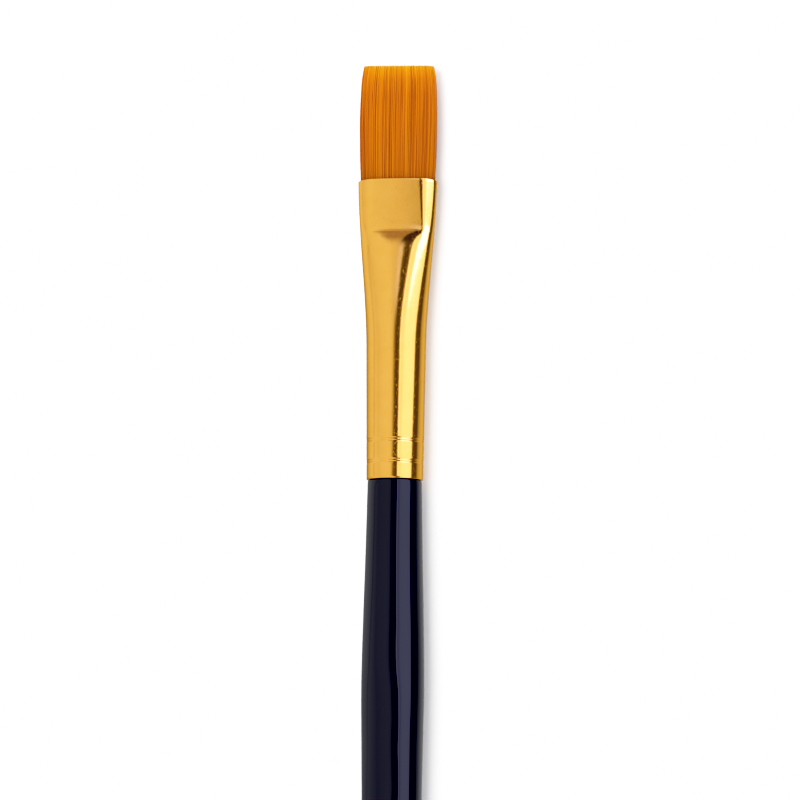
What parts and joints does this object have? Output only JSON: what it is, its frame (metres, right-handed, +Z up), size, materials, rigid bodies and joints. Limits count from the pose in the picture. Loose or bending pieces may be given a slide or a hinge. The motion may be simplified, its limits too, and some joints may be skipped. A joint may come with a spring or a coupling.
{
  "type": "paint brush",
  "caption": "Flat artists' brush lying on its side: golden synthetic bristles, gold ferrule pressed flat at its mouth, short lacquered wooden handle.",
  "frame": {"origin": "middle of the brush's outline, on the surface that it lies on", "axes": "+Y along the brush, from the handle's tail towards the bristle tips; +X across the wide side of the tuft; +Z up, out of the tuft's flat side"},
  "size_m": [0.0114, 0.2004, 0.0089],
  "materials": {
    "handle_lacquer": "gloss",
    "gold_ferrule": "polished",
    "wood_glue": "satin",
    "epoxy": "gloss",
    "binding_thread": "matte",
    "bristle": "satin"
  },
  "bodies": {
    "brush_body": {"handle": "handle_lacquer", "handle_glue": "wood_glue", "ferrule": "gold_ferrule", "root_resin": "epoxy", "tuft_binding": "binding_thread", "tuft_root": "bristle"},
    "bristles": {"tuft": "bristle"}
  },
  "joints": [
    {"name": "tuft_bend", "type": "hinge", "parent": "brush_body", "child": "bristles", "pos_m": [0, 0.08528, 0.00336], "axis": [1, 0, 0], "range_deg": [-40, 40], "stiffness_Nm_per_rad": 0.006}
  ]
}
